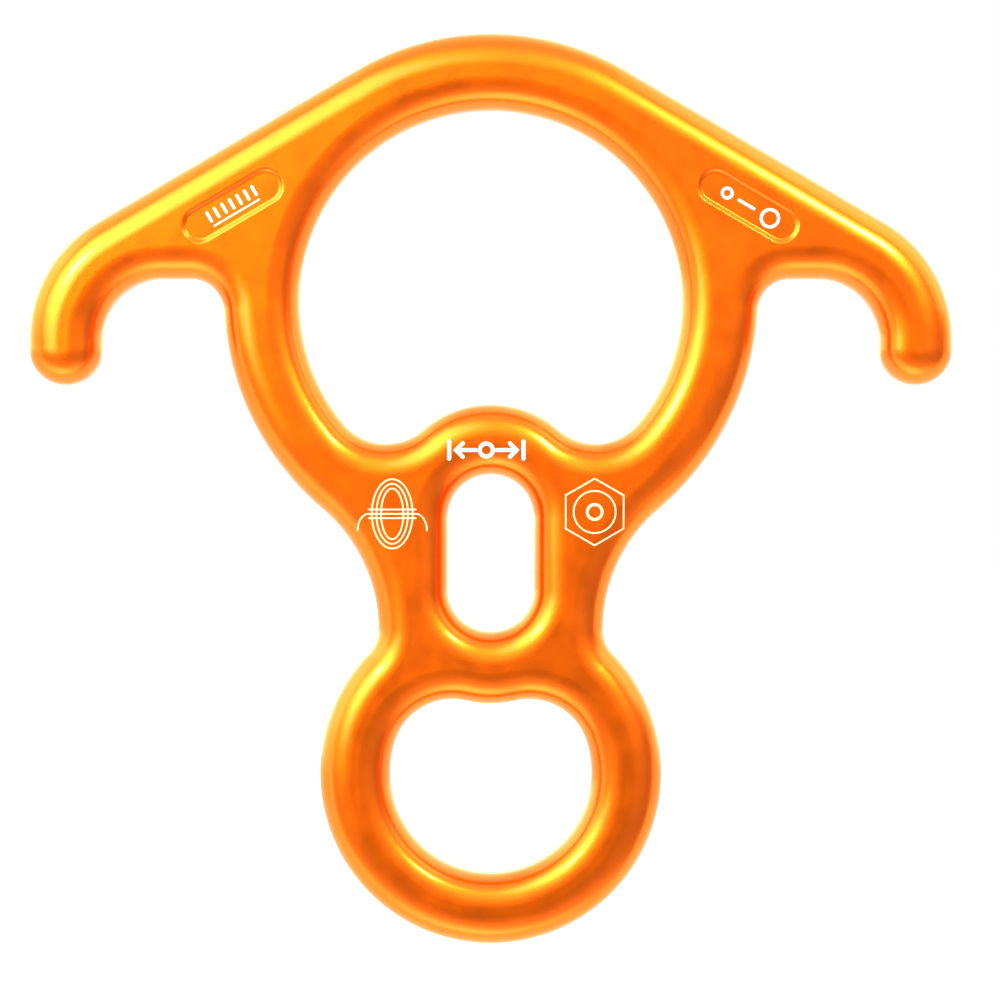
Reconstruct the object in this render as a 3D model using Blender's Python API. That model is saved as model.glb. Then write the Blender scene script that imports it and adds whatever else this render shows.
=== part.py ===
"""Rescue figure eight descender with ears, modelled as the single hot forging that it is.

The plate stands upright in the XZ plane with the rope ring at the top, its thickness runs along Y, and its
front faces -Y. The origin is the centre of the small eye, where the descender hangs on its karabiner. Units are
metres and every height is measured up from the centre of the small eye.

The silhouette is a chain of arcs and straight lines that all meet at tangents. Only the right half of each loop
is worked out, from the top of the loop to its foot, and the left half is its mirror image. The rounded edge is
then carried round each loop, and flat lands close the front and the back.
"""

import itertools
import math

import bmesh
import bpy
import numpy as np
from mathutils import Vector

# Whole body.
OVERALL_WIDTH = 0.150
THICKNESS = 0.013
EDGE_RADIUS = 0.0044
MIN_LAND = 0.0006

# Rope ring: the big opening, the arch over it and the flank at each side of it.
RING_HEIGHT = 0.0767
ROPE_RADIUS = 0.0311
ARCH_WALL = 0.0124
SIDE_WALL = 0.0124
SIDE_RADIUS = 0.046
SIDE_RISE = 0.0013
LOBE_RADIUS = 0.009
LOBE_DROP = 0.0141
HUMP_RADIUS = 0.0169

# Ears: a shoulder that runs out from the arch, and a hook that turns down at its end.
EAR_HEIGHT = 0.0705
SHOULDER_RADIUS = 0.022
HOOK_RADIUS = 0.0099
HORN_WIDTH = 0.0118
HORN_DROP = 0.0073
CORNER_RADIUS = 0.0053

# Web between the two rings, with its rope slot and its neck.
SLOT_WIDTH = 0.0141
SLOT_LENGTH = 0.0257
BRIDGE_WALL = 0.0113
NECK_WALL = 0.01125
NECK_RADIUS = 0.006

# Small eye for the karabiner.
EYE_RADIUS = 0.0164
EYE_WALL = 0.0114
EYE_LOBE_RADIUS = 0.0098
EYE_LOBE_RISE = 0.0022
EYE_DIP_RADIUS = 0.018

# Shallow marking plaque beside each flank, parallel to it.
PLAQUE_LENGTH = 0.0184
PLAQUE_WIDTH = 0.0061
PLAQUE_DEPTH = 0.0003
PLAQUE_DRAFT = 0.00025
PLAQUE_INSET = 0.0092
PLAQUE_SHIFT = 0.0037

# How finely arcs are divided.
CHORD_ERROR = 0.00004
EDGE_STEPS = 5

# Finish: satin orange anodising.
BODY_COLOUR = (0.95, 0.165, 0.003, 1.0)
BODY_ROUGHNESS = 0.32

CLOCKWISE = -1
COUNTERCLOCKWISE = 1
CONVEX = 1
CONCAVE = -1


def clear_scene():
    """Remove every object that the scene starts with."""
    for item in list(bpy.data.objects):
        bpy.data.objects.remove(item, do_unlink=True)


def towards(start, target, distance):
    """Return the point at a distance from start on the way to target."""
    return start + (target - start).normalized() * distance


def arc(centre, radius, first, last, turn, bulge):
    """Return points with outward normals along an arc.

    The arc runs from first to last about centre. turn says which way round, and bulge says whether the metal is
    inside the circle (CONVEX) or outside it (CONCAVE), which settles where the outward normal points.
    """
    start = math.atan2(first.y - centre.y, first.x - centre.x)
    end = math.atan2(last.y - centre.y, last.x - centre.x)
    sweep = ((end - start) * turn) % math.tau
    widest = 2 * math.acos(1 - CHORD_ERROR / radius)
    count = max(2, math.ceil(sweep / widest))
    points = []
    for step in range(count + 1):
        angle = start + turn * sweep * step / count
        radial = Vector((math.cos(angle), math.sin(angle)))
        points.append((centre + radial * radius, radial * bulge))
    return points


def mirrored_loop(arcs):
    """Join the arcs of a right half, top to foot, and return the whole loop with its mirrored left half."""
    half = []
    for points in arcs:
        for point, normal in points:
            if not half or (point - half[-1][0]).length > CHORD_ERROR / 10:
                half.append((point, normal))
    left = [(Vector((-p.x, p.y)), Vector((-n.x, n.y))) for p, n in reversed(half[1:-1])]
    return half + left


def flank_line():
    """Return where the straight flank leaves the arch, where it meets the shoulder, and its outward normal."""
    arch_radius = ROPE_RADIUS + ARCH_WALL
    arch_centre = Vector((0.0, RING_HEIGHT))
    shoulder_centre = Vector((OVERALL_WIDTH / 2 - SHOULDER_RADIUS, EAR_HEIGHT))
    across = shoulder_centre - arch_centre
    angle = math.atan2(across.y, across.x) + math.acos((arch_radius - SHOULDER_RADIUS) / across.length)
    normal = Vector((math.cos(angle), math.sin(angle)))
    return arch_centre + normal * arch_radius, shoulder_centre + normal * SHOULDER_RADIUS, normal


def ear_fillets():
    """Return the radii of the hook and of the corner beside it, limited together by the gap that they span."""
    gap = OVERALL_WIDTH / 2 - HORN_WIDTH - ROPE_RADIUS - SIDE_WALL
    share = min(1.0, (gap - MIN_LAND) / (HOOK_RADIUS + CORNER_RADIUS))
    return HOOK_RADIUS * share, CORNER_RADIUS * share


def outer_arcs():
    """Return the arcs of the right half of the silhouette, from the top of the arch to the foot of the eye."""
    half_width = OVERALL_WIDTH / 2
    arch_radius = ROPE_RADIUS + ARCH_WALL
    arch_centre = Vector((0.0, RING_HEIGHT))
    arch_top = Vector((0.0, RING_HEIGHT + arch_radius))
    flank_top, flank_foot, _ = flank_line()

    shoulder_centre = Vector((half_width - SHOULDER_RADIUS, EAR_HEIGHT))
    shoulder_end = Vector((half_width, EAR_HEIGHT))

    tip_radius = HORN_WIDTH / 2
    tip_centre = Vector((half_width - tip_radius, EAR_HEIGHT - HORN_DROP + tip_radius))
    tip_outer = tip_centre + Vector((tip_radius, 0.0))
    tip_inner = tip_centre - Vector((tip_radius, 0.0))

    hook_radius, corner_radius = ear_fillets()
    hook_centre = Vector((half_width - HORN_WIDTH - hook_radius, EAR_HEIGHT))
    hook_start = hook_centre + Vector((hook_radius, 0.0))
    hook_top = hook_centre + Vector((0.0, hook_radius))

    side_centre = Vector((ROPE_RADIUS + SIDE_WALL - SIDE_RADIUS, RING_HEIGHT + SIDE_RISE))
    corner_height = EAR_HEIGHT + hook_radius - corner_radius
    reach = SIDE_RADIUS + corner_radius
    corner_x = side_centre.x + math.sqrt(reach ** 2 - (corner_height - side_centre.y) ** 2)
    corner_centre = Vector((corner_x, corner_height))
    corner_top = corner_centre + Vector((0.0, corner_radius))
    corner_foot = towards(corner_centre, side_centre, corner_radius)

    # Both neck arcs have their centres at the height of the narrowest point. The lower one also touches the
    # ring of the eye, which settles that height, and the upper one touches the side, which settles its radius.
    neck = SLOT_WIDTH / 2 + NECK_WALL
    eye_ring = EYE_RADIUS + EYE_WALL
    neck_height = math.sqrt((eye_ring + NECK_RADIUS) ** 2 - (neck + NECK_RADIUS) ** 2)
    rise = neck_height - side_centre.y
    run = neck - side_centre.x
    upper_radius = (run ** 2 + rise ** 2 - SIDE_RADIUS ** 2) / (2 * (SIDE_RADIUS - run))
    neck_point = Vector((neck, neck_height))
    upper_centre = Vector((neck + upper_radius, neck_height))
    lower_centre = Vector((neck + NECK_RADIUS, neck_height))
    side_foot = towards(side_centre, upper_centre, SIDE_RADIUS)

    eye_centre = Vector((0.0, 0.0))
    ring_start = towards(eye_centre, lower_centre, eye_ring)
    ring_foot = Vector((0.0, -eye_ring))

    return [
        arc(arch_centre, arch_radius, arch_top, flank_top, CLOCKWISE, CONVEX),
        arc(shoulder_centre, SHOULDER_RADIUS, flank_foot, shoulder_end, CLOCKWISE, CONVEX),
        arc(tip_centre, tip_radius, tip_outer, tip_inner, CLOCKWISE, CONVEX),
        arc(hook_centre, hook_radius, hook_start, hook_top, COUNTERCLOCKWISE, CONCAVE),
        arc(corner_centre, corner_radius, corner_top, corner_foot, COUNTERCLOCKWISE, CONCAVE),
        arc(side_centre, SIDE_RADIUS, corner_foot, side_foot, CLOCKWISE, CONVEX),
        arc(upper_centre, upper_radius, side_foot, neck_point, COUNTERCLOCKWISE, CONCAVE),
        arc(lower_centre, NECK_RADIUS, neck_point, ring_start, COUNTERCLOCKWISE, CONCAVE),
        arc(eye_centre, eye_ring, ring_start, ring_foot, CLOCKWISE, CONVEX),
    ]


def hump_top():
    """Return the centre of a lower lobe of the rope opening and the centre of the hump between the lobes."""
    across = math.sqrt((ROPE_RADIUS - LOBE_RADIUS) ** 2 - LOBE_DROP ** 2)
    lobe_centre = Vector((across, RING_HEIGHT - LOBE_DROP))
    reach = LOBE_RADIUS + HUMP_RADIUS
    hump_centre = Vector((0.0, lobe_centre.y - math.sqrt(reach ** 2 - across ** 2)))
    return lobe_centre, hump_centre


def rope_arcs():
    """Return the arcs of the right half of the big rope opening."""
    centre = Vector((0.0, RING_HEIGHT))
    lobe_centre, hump_centre = hump_top()
    top = Vector((0.0, RING_HEIGHT + ROPE_RADIUS))
    lobe_start = towards(centre, lobe_centre, ROPE_RADIUS)
    lobe_end = towards(lobe_centre, hump_centre, LOBE_RADIUS)
    crest = Vector((0.0, hump_centre.y + HUMP_RADIUS))
    return [
        arc(centre, ROPE_RADIUS, top, lobe_start, CLOCKWISE, CONCAVE),
        arc(lobe_centre, LOBE_RADIUS, lobe_start, lobe_end, CLOCKWISE, CONCAVE),
        arc(hump_centre, HUMP_RADIUS, lobe_end, crest, COUNTERCLOCKWISE, CONVEX),
    ]


def slot_arcs():
    """Return the arcs of the right half of the rope slot, a straight slot with round ends."""
    radius = SLOT_WIDTH / 2
    _, hump_centre = hump_top()
    top = Vector((0.0, hump_centre.y + HUMP_RADIUS - BRIDGE_WALL))
    foot = Vector((0.0, top.y - SLOT_LENGTH))
    upper_centre = Vector((0.0, top.y - radius))
    lower_centre = Vector((0.0, foot.y + radius))
    aside = Vector((radius, 0.0))
    return [
        arc(upper_centre, radius, top, upper_centre + aside, CLOCKWISE, CONCAVE),
        arc(lower_centre, radius, lower_centre + aside, foot, CLOCKWISE, CONCAVE),
    ]


def eye_arcs():
    """Return the arcs of the right half of the small eye, which has a shallow dip at its top."""
    centre = Vector((0.0, 0.0))
    across = math.sqrt((EYE_RADIUS - EYE_LOBE_RADIUS) ** 2 - EYE_LOBE_RISE ** 2)
    lobe_centre = Vector((across, EYE_LOBE_RISE))
    reach = EYE_LOBE_RADIUS + EYE_DIP_RADIUS
    dip_centre = Vector((0.0, EYE_LOBE_RISE + math.sqrt(reach ** 2 - across ** 2)))
    dip = Vector((0.0, dip_centre.y - EYE_DIP_RADIUS))
    lobe_start = towards(lobe_centre, dip_centre, EYE_LOBE_RADIUS)
    lobe_end = towards(centre, lobe_centre, EYE_RADIUS)
    foot = Vector((0.0, -EYE_RADIUS))
    return [
        arc(dip_centre, EYE_DIP_RADIUS, dip, lobe_start, COUNTERCLOCKWISE, CONVEX),
        arc(lobe_centre, EYE_LOBE_RADIUS, lobe_start, lobe_end, CLOCKWISE, CONCAVE),
        arc(centre, EYE_RADIUS, lobe_end, foot, CLOCKWISE, CONCAVE),
    ]


def stadium(centre, along, length, width):
    """Return the points of a slot shape with round ends, whose long side runs along a unit vector."""
    radius = width / 2
    aside = Vector((-along.y, along.x))
    reach = along * (length / 2 - radius)
    points = arc(centre + reach, radius, centre + reach - aside * radius, centre + reach + aside * radius,
                 COUNTERCLOCKWISE, CONCAVE)
    points += arc(centre - reach, radius, centre - reach + aside * radius, centre - reach - aside * radius,
                  COUNTERCLOCKWISE, CONCAVE)
    return points


def plaque_outline(side):
    """Return the mouth of the marking plaque beside the flank, on the left (-1) or on the right (1)."""
    flank_top, flank_foot, normal = flank_line()
    along = (flank_foot - flank_top).normalized()
    middle = (flank_top + flank_foot) / 2
    centre = middle + along * PLAQUE_SHIFT - normal * PLAQUE_INSET
    return stadium(Vector((centre.x * side, centre.y)), Vector((along.x * side, along.y)),
                   PLAQUE_LENGTH, PLAQUE_WIDTH)


def gap_between(first, second):
    """Return the least distance between two closed outlines.

    Every corner of each outline is set against every side of the other, at the nearest point of that side.
    """
    least = math.inf
    for outline, other in ((first, second), (second, first)):
        corners = np.array([point for point, _ in outline])[:, None]
        starts = np.array([point for point, _ in other])[None]
        sides = np.roll(starts, -1, axis=1) - starts
        share = ((corners - starts) * sides).sum(axis=2) / (sides ** 2).sum(axis=2)
        nearest = starts + sides * share.clip(0.0, 1.0)[..., None]
        least = min(least, float(np.linalg.norm(corners - nearest, axis=2).min()))
    return least


def edge_radius(loops, plaques):
    """Return the edge rounding, limited so that a land is left in every wall and round every plaque."""
    walls = [HORN_WIDTH, THICKNESS]
    walls += [gap_between(first, second) for first, second in itertools.combinations(loops, 2)]
    borders = [gap_between(loop, plaque) for loop in loops for plaque in plaques]
    return min(EDGE_RADIUS, (min(walls) - MIN_LAND) / 2, min(borders) - MIN_LAND)


def edge_profile(radius):
    """Return the rounded edge from the front land to the back land, as pairs of inset and depth along Y."""
    half = []
    for step in range(EDGE_STEPS + 1):
        angle = math.pi / 2 * step / EDGE_STEPS
        inset = radius * (1 - math.sin(angle))
        half.append((inset, THICKNESS / 2 - radius * (1 - math.cos(angle))))
    return [(inset, -depth) for inset, depth in half] + [(inset, depth) for inset, depth in reversed(half)]


def sweep_edge(bm, loop, profile):
    """Carry the edge profile round a loop and return the vertices that border the front and the back land."""
    rows = []
    for point, normal in loop:
        row = []
        for inset, depth in profile:
            place = point - normal * inset
            row.append(bm.verts.new((place.x, depth, place.y)))
        rows.append(row)
    for row, following in zip(rows, rows[1:] + rows[:1]):
        for near in range(len(row) - 1):
            bm.faces.new((row[near], row[near + 1], following[near + 1], following[near]))
    return [row[0] for row in rows], [row[-1] for row in rows]


def cut_plaque(bm, outline, face):
    """Sink a marking plaque of the given outline into one face, and return the vertices of its mouth."""
    surface = face * THICKNESS / 2
    bottom = face * (THICKNESS / 2 - PLAQUE_DEPTH)
    mouth = []
    floor = []
    for point, normal_in in outline:
        inner = point + normal_in * PLAQUE_DRAFT
        mouth.append(bm.verts.new((point.x, surface, point.y)))
        floor.append(bm.verts.new((inner.x, bottom, inner.y)))
    count = len(mouth)
    for near in range(count):
        far = (near + 1) % count
        bm.faces.new((mouth[near], mouth[far], floor[far], floor[near]))
    bm.faces.new(floor)
    return mouth


def close_land(bm, borders, face):
    """Fill the flat land that lies between the given border loops, on the front or on the back face."""
    edges = []
    for border in borders:
        for start, end in zip(border, border[1:] + border[:1]):
            edge = bm.edges.get((start, end))
            edges.append(edge if edge else bm.edges.new((start, end)))
    bmesh.ops.triangle_fill(bm, use_beauty=True, use_dissolve=False, edges=edges, normal=(0.0, face, 0.0))


def satin_anodising():
    """Return the material of the body, orange anodised aluminium."""
    material = bpy.data.materials.new("anodised_orange")
    material.use_nodes = True
    shader = material.node_tree.nodes["Principled BSDF"]
    shader.inputs["Base Color"].default_value = BODY_COLOUR
    shader.inputs["Metallic"].default_value = 1.0
    shader.inputs["Roughness"].default_value = BODY_ROUGHNESS
    material.diffuse_color = BODY_COLOUR
    return material


def forged_body():
    """Build the forging: rounded edges round the silhouette and its three openings, then the two lands."""
    loops = [mirrored_loop(arcs) for arcs in (outer_arcs(), rope_arcs(), slot_arcs(), eye_arcs())]
    plaques = [plaque_outline(side) for side in (-1, 1)]
    profile = edge_profile(edge_radius(loops, plaques))
    bm = bmesh.new()
    fronts = []
    backs = []
    for loop in loops:
        front, back = sweep_edge(bm, loop, profile)
        fronts.append(front)
        backs.append(back)
    for outline in plaques:
        fronts.append(cut_plaque(bm, outline, -1))
        backs.append(cut_plaque(bm, outline, 1))
    close_land(bm, fronts, -1)
    close_land(bm, backs, 1)
    bmesh.ops.recalc_face_normals(bm, faces=bm.faces)
    mesh = bpy.data.meshes.new("forged_body")
    bm.to_mesh(mesh)
    bm.free()
    mesh.materials.append(satin_anodising())
    mesh.shade_smooth()
    mesh.set_sharp_from_angle(angle=math.radians(30))
    body = bpy.data.objects.new("forged_body", mesh)
    bpy.context.scene.collection.objects.link(body)
    return body


clear_scene()
forged_body()
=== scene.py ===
"""Looks of the rescue figure eight descender: its fine forged surface, its orange anodising and its marks.

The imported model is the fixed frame. Everything is in metres in that frame: the plate stands in the XZ plane
with the rope ring at the top, its front faces -Y, and the origin is the centre of the small eye. The forged
body is worked out again here as one fine surface, from the same driving sizes as the solid that it replaces.
"""

import logging
import math
from dataclasses import dataclass
from enum import Enum

import bpy
import numpy as np
from mathutils import Matrix, Vector
from mathutils.geometry import delaunay_2d_cdt

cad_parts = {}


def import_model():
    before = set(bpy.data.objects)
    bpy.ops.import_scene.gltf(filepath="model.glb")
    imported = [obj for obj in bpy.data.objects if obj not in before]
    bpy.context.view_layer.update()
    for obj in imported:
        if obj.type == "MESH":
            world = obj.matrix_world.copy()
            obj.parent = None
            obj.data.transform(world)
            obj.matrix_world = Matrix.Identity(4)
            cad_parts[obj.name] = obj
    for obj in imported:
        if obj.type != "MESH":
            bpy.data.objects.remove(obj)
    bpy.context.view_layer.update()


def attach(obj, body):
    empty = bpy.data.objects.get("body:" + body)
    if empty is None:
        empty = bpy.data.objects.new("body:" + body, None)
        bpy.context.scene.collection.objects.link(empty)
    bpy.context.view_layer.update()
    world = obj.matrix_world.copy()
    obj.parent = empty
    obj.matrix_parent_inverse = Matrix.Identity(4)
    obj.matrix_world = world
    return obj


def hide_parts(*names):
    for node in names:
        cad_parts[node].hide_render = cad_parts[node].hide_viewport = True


LOG = logging.getLogger("descender")
ROOT_BODY = "root"
BODY_NODE = "forged_body"
BODY_SLOT = "anodised_orange"
SAME_PLACE = 1e-7
SAME_CORNER = 1e-9
BATCH = 500
BORDER_CLEARANCE = 0.6
EDGE_ROWS = 20
ROUNDING_SAMPLES = 200
PLAQUE_ROWS = 13
RING_POINTS = 48
LOOP_POINTS = 60
HEXAGON_POINTS = 12
STROKE_PITCH = 0.0004
CAP_ANGLES = (22.0, 45.0, 68.0)
STROKE_LIFT = 0.000001


class Turn(Enum):
    """Which way round an arc is followed, seen from the front."""

    CLOCKWISE = -1
    COUNTERCLOCKWISE = 1


class Bulge(Enum):
    """Whether the metal is inside an arc's circle or outside it."""

    CONVEX = 1
    CONCAVE = -1


class Side(Enum):
    """Left or right half of the body, as the sign of X."""

    LEFT = -1
    RIGHT = 1


class Face(Enum):
    """Front or back of the plate, as the sign of Y."""

    FRONT = -1
    BACK = 1


def point(x: float, z: float) -> np.ndarray:
    """Return a point of the plate's plane as an array."""
    return np.array([x, z])


def towards(start: np.ndarray, target: np.ndarray, distance: float) -> np.ndarray:
    """Return the point at a distance from start on the straight way to target."""
    way = target - start
    return start + way / np.linalg.norm(way) * distance


def smooth(share: np.ndarray) -> np.ndarray:
    """Return 3 s^2 - 2 s^3, the ramp from 0 to 1 that starts and ends level."""
    return share * share * (3.0 - 2.0 * share)


@dataclass(frozen=True)
class Arc:
    """A stretch of an outline that lies on a circle.

    Attributes:
        centre: Centre of the circle.
        radius: Radius of the circle.
        first: Point that gives the angle of the start.
        last: Point that gives the angle of the end.
        turn: Which way the arc runs.
        bulge: Whether the metal is inside the circle or outside it.
    """

    centre: np.ndarray
    radius: float
    first: np.ndarray
    last: np.ndarray
    turn: Turn
    bulge: Bulge

    def sample(self, step: float) -> tuple[np.ndarray, np.ndarray]:
        """Return points centre + radius (cos a, sin a) at even angles a, and their outward normals.

        Args:
            step: Widest spacing of the points along the arc.

        Returns:
            Points and unit normals, each of shape (count, 2).
        """
        start = math.atan2(*(self.first - self.centre)[::-1])
        end = math.atan2(*(self.last - self.centre)[::-1])
        sweep = ((end - start) * self.turn.value) % math.tau
        count = max(2, math.ceil(sweep * self.radius / step))
        angle = start + self.turn.value * np.linspace(0.0, sweep, count + 1)
        radial = np.stack([np.cos(angle), np.sin(angle)], axis=-1)
        return self.centre + radial * self.radius, radial * self.bulge.value


@dataclass(frozen=True)
class Outline:
    """A closed loop of points in the plate's plane, with outward normals.

    Attributes:
        points: Corners of the loop, shape (count, 2).
        normals: Unit normals that point out of the metal, shape (count, 2).
    """

    points: np.ndarray
    normals: np.ndarray

    @classmethod
    def through(cls, arcs: list[Arc], step: float) -> "Outline":
        """Join arcs that meet at tangents; wherever two of them lie apart, one straight side joins them.

        Args:
            arcs: The arcs in the order in which the loop runs.
            step: Widest spacing of the points on an arc.

        Returns:
            The outline through all arcs, without doubled points.
        """
        samples = [arc.sample(step) for arc in arcs]
        points = np.concatenate([places for places, _ in samples])
        normals = np.concatenate([facing for _, facing in samples])
        apart = np.linalg.norm(np.diff(points, axis=0), axis=1) > SAME_PLACE
        fresh = np.concatenate([[True], apart])
        return cls(points[fresh], normals[fresh])

    @classmethod
    def mirrored(cls, arcs: list[Arc], step: float) -> "Outline":
        """Return the loop made of a right half, given from its top to its foot, and its mirror image."""
        half = cls.through(arcs, step)
        flip = np.array([-1.0, 1.0])
        points = np.concatenate([half.points, half.points[-2:0:-1] * flip])
        normals = np.concatenate([half.normals, half.normals[-2:0:-1] * flip])
        return cls(points, normals)

    def runs_outward_left(self) -> bool:
        """Return whether the outward normal lies to the left of the way the loop runs."""
        along = np.roll(self.points, -1, axis=0) - self.points
        return bool(np.sum(along[:, 0] * self.normals[:, 1] - along[:, 1] * self.normals[:, 0]) > 0)


@dataclass(frozen=True)
class Section:
    """Profile that is carried round an outline.

    Attributes:
        inset: How far each point lies inside the outline, shape (count,).
        depth: Place of each point along Y, shape (count,).
        tilt: Angle in radians from the plate's plane normal to the surface normal, shape (count,).
        facing: Sign of the plane normal at each point, shape (count,).
        wall: Share, from 0 on a land to 1 on the trimmed wall, shape (count,).
    """

    inset: np.ndarray
    depth: np.ndarray
    tilt: np.ndarray
    facing: np.ndarray
    wall: np.ndarray


class Shell:
    """Vertices, normals and faces of one surface, gathered stretch by stretch."""

    def __init__(self) -> None:
        """Start with nothing gathered."""
        self.points: list[np.ndarray] = []
        self.normals: list[np.ndarray] = []
        self.walls: list[np.ndarray] = []
        self.quads: list[np.ndarray] = []
        self.triangles: list[np.ndarray] = []
        self.count = 0

    def add_points(self, points: np.ndarray, normals: np.ndarray, wall: np.ndarray) -> np.ndarray:
        """Add vertices and return their indices.

        Args:
            points: Places, shape (..., 3).
            normals: Unit normals, shape (..., 3).
            wall: Share of trimmed wall, shape (...).

        Returns:
            Indices of the vertices, with the shape of wall.
        """
        shape = points.shape[:-1]
        total = int(np.prod(shape))
        self.points.append(points.reshape(total, 3))
        self.normals.append(normals.reshape(total, 3))
        self.walls.append(np.broadcast_to(wall, shape).reshape(total))
        index = np.arange(self.count, self.count + total).reshape(shape)
        self.count += total
        return index

    def add_sweep(self, outline: Outline, section: Section, flip: bool) -> np.ndarray:
        """Carry a section round an outline: point = outline - normal * inset, at the section's depth.

        Args:
            outline: The closed path.
            section: The profile.
            flip: Whether the faces are wound the other way.

        Returns:
            Indices of the vertices, shape (outline count, section count).
        """
        flat = outline.points[:, None] - outline.normals[:, None] * section.inset[None, :, None]
        rows, columns = flat.shape[:2]
        places = np.empty((rows, columns, 3))
        places[..., 0] = flat[..., 0]
        places[..., 1] = section.depth
        places[..., 2] = flat[..., 1]
        normals = np.empty_like(places)
        sine = np.sin(section.tilt)
        normals[..., 0] = outline.normals[:, None, 0] * sine
        normals[..., 1] = section.facing * np.cos(section.tilt)
        normals[..., 2] = outline.normals[:, None, 1] * sine
        index = self.add_points(places, normals, section.wall)
        following = np.roll(index, -1, axis=0)
        quads = np.stack([index[:, :-1], following[:, :-1], following[:, 1:], index[:, 1:]], axis=-1)
        quads = quads.reshape(-1, 4)
        self.quads.append(quads[:, ::-1] if flip else quads)
        return index

    def add_land(self, borders: list[np.ndarray], depth: float, face: Face, pitch: float) -> None:
        """Fill the flat land between closed borders with near even triangles.

        A lattice of points at the given pitch, kept clear of the borders, is joined to them by a constrained
        Delaunay triangulation, and the triangles outside the land are dropped.

        Args:
            borders: Vertex indices of each border loop.
            depth: Place of the land along Y.
            face: Which way the land faces.
            pitch: Spacing of the lattice.
        """
        every = np.concatenate(self.points)
        loops = [every[border][:, [0, 2]] for border in borders]
        lattice = lattice_points(loops, pitch)
        places = np.stack([lattice[:, 0], np.full(len(lattice), depth), lattice[:, 1]], axis=-1)
        normals = np.tile([0.0, float(face.value), 0.0], (len(lattice), 1))
        added = self.add_points(places, normals, np.zeros(len(lattice)))
        own = np.concatenate([*borders, added])
        corners = np.concatenate([*loops, lattice])
        edges = []
        start = 0
        for border in borders:
            ring = np.arange(start, start + len(border))
            edges.append(np.stack([ring, np.roll(ring, -1)], axis=-1))
            start += len(border)
        spots = [Vector(corner) for corner in corners]
        made = delaunay_2d_cdt(spots, np.concatenate(edges).tolist(), [], 0, SAME_CORNER)
        origin = np.array([sources[0] for sources in made[3]])
        faces = origin[np.array(made[2])]
        middles = corners[faces].mean(axis=1)
        faces = own[faces[inside(middles, loops)]]
        self.triangles.append(faces if face is Face.FRONT else faces[:, ::-1])

    def to_object(self, name: str) -> bpy.types.Object:
        """Return the gathered surface as an object with its own normals and a wall attribute."""
        faces = np.concatenate(self.quads).tolist() + np.concatenate(self.triangles).tolist()
        mesh = bpy.data.meshes.new(name)
        mesh.from_pydata(np.concatenate(self.points), [], faces)
        mesh.shade_smooth()
        mesh.normals_split_custom_set_from_vertices(np.concatenate(self.normals))
        wall = mesh.attributes.new("wall", "FLOAT", "POINT")
        wall.data.foreach_set("value", np.concatenate(self.walls).astype(np.float32))
        piece = bpy.data.objects.new(name, mesh)
        bpy.context.scene.collection.objects.link(piece)
        return piece


def inside(places: np.ndarray, loops: list[np.ndarray]) -> np.ndarray:
    """Return which places lie in the area between closed loops.

    A place is in the area if a ray from it towards +X crosses an odd number of the loops' sides.

    Args:
        places: Points to test, shape (count, 2).
        loops: Corners of each loop.

    Returns:
        One truth value for each place.
    """
    starts = np.concatenate(loops)
    ends = np.concatenate([np.roll(loop, -1, axis=0) for loop in loops])
    rise = ends[:, 1] - starts[:, 1]
    slope = (ends[:, 0] - starts[:, 0]) / np.where(rise == 0.0, 1.0, rise)
    found = []
    for batch in np.array_split(places, max(1, len(places) // BATCH)):
        height = batch[:, None, 1]
        straddles = (starts[:, 1] > height) != (ends[:, 1] > height)
        crossing = starts[:, 0] + (height - starts[:, 1]) * slope
        hits = straddles & (batch[:, None, 0] < crossing)
        found.append(hits.sum(axis=1) % 2 == 1)
    return np.concatenate(found)


def side_distance(places: np.ndarray, loops: list[np.ndarray]) -> np.ndarray:
    """Return how far places lie from the nearest side of closed loops.

    The nearest point of a side is start + t * side, with t = (place - start) . side / side . side, held
    between 0 and 1.

    Args:
        places: Points to measure from, shape (count, 2).
        loops: Corners of each loop.

    Returns:
        One distance for each place.
    """
    starts = np.concatenate(loops)
    sides = np.concatenate([np.roll(loop, -1, axis=0) for loop in loops]) - starts
    squares = np.sum(sides * sides, axis=1)
    found = []
    for batch in np.array_split(places, max(1, len(places) // BATCH)):
        away = batch[:, None] - starts
        share = np.clip(np.sum(away * sides, axis=2) / squares, 0.0, 1.0)
        found.append(np.linalg.norm(away - sides * share[..., None], axis=2).min(axis=1))
    return np.concatenate(found)


def lattice_points(loops: list[np.ndarray], pitch: float) -> np.ndarray:
    """Return the points of a square lattice that lie in the area between loops and clear of their sides."""
    corners = np.concatenate(loops)
    low = corners.min(axis=0)
    high = corners.max(axis=0)
    across = np.arange(low[0] + pitch / 2, high[0], pitch)
    up = np.arange(low[1] + pitch / 2, high[1], pitch)
    lattice = np.stack(np.meshgrid(across, up), axis=-1).reshape(-1, 2)
    lattice = lattice[inside(lattice, loops)]
    return lattice[side_distance(lattice, loops) > pitch * BORDER_CLEARANCE]


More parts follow.
